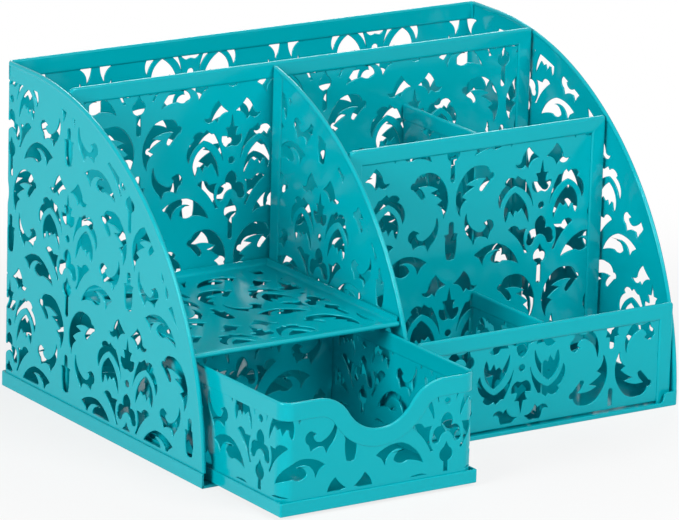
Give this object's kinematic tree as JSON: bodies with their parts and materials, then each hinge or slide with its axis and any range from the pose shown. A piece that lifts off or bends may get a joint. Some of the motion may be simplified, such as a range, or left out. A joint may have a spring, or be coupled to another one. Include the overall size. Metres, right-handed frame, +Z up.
{
  "type": "desk organizer with drawer",
  "caption": "Punched sheet-metal desk organizer with curved sides, a letter slot at the back, sorter bins, a shelf and a sliding drawer with a finger scoop.",
  "frame": {"origin": "centre of the base tray's underside, at desk level", "axes": "+X to the viewer's right along the width, +Y to the back, +Z up; the drawer opens towards -Y"},
  "size_m": [0.22, 0.195, 0.131],
  "materials": {
    "turquoise_coat": "semi-gloss powder coat"
  },
  "bodies": {
    "body": {"base_tray": "turquoise_coat", "left_side": "turquoise_coat", "left_side_rim": "turquoise_coat", "right_side": "turquoise_coat", "right_side_rim": "turquoise_coat", "back_panel": "turquoise_coat", "back_rim": "turquoise_coat", "letter_divider": "turquoise_coat", "letter_divider_rim": "turquoise_coat", "sorter_panel": "turquoise_coat", "sorter_panel_rim": "turquoise_coat", "front_panel": "turquoise_coat", "front_panel_rim": "turquoise_coat", "rear_bin_divider": "turquoise_coat", "rear_bin_divider_rim": "turquoise_coat", "front_bin_divider": "turquoise_coat", "front_bin_divider_rim": "turquoise_coat", "partition": "turquoise_coat", "partition_rim": "turquoise_coat", "shelf": "turquoise_coat", "shelf_rim": "turquoise_coat"},
    "drawer": {"drawer_tray": "turquoise_coat", "drawer_front": "turquoise_coat", "drawer_front_rim": "turquoise_coat", "drawer_left_side": "turquoise_coat", "drawer_left_rim": "turquoise_coat", "drawer_right_side": "turquoise_coat", "drawer_right_rim": "turquoise_coat", "drawer_back": "turquoise_coat", "drawer_back_rim": "turquoise_coat"}
  },
  "joints": [
    {"name": "drawer_slide", "type": "slide", "parent": "body", "child": "drawer", "axis": [0, -1, 0], "range_m": [-0.046, 0.034]}
  ]
}
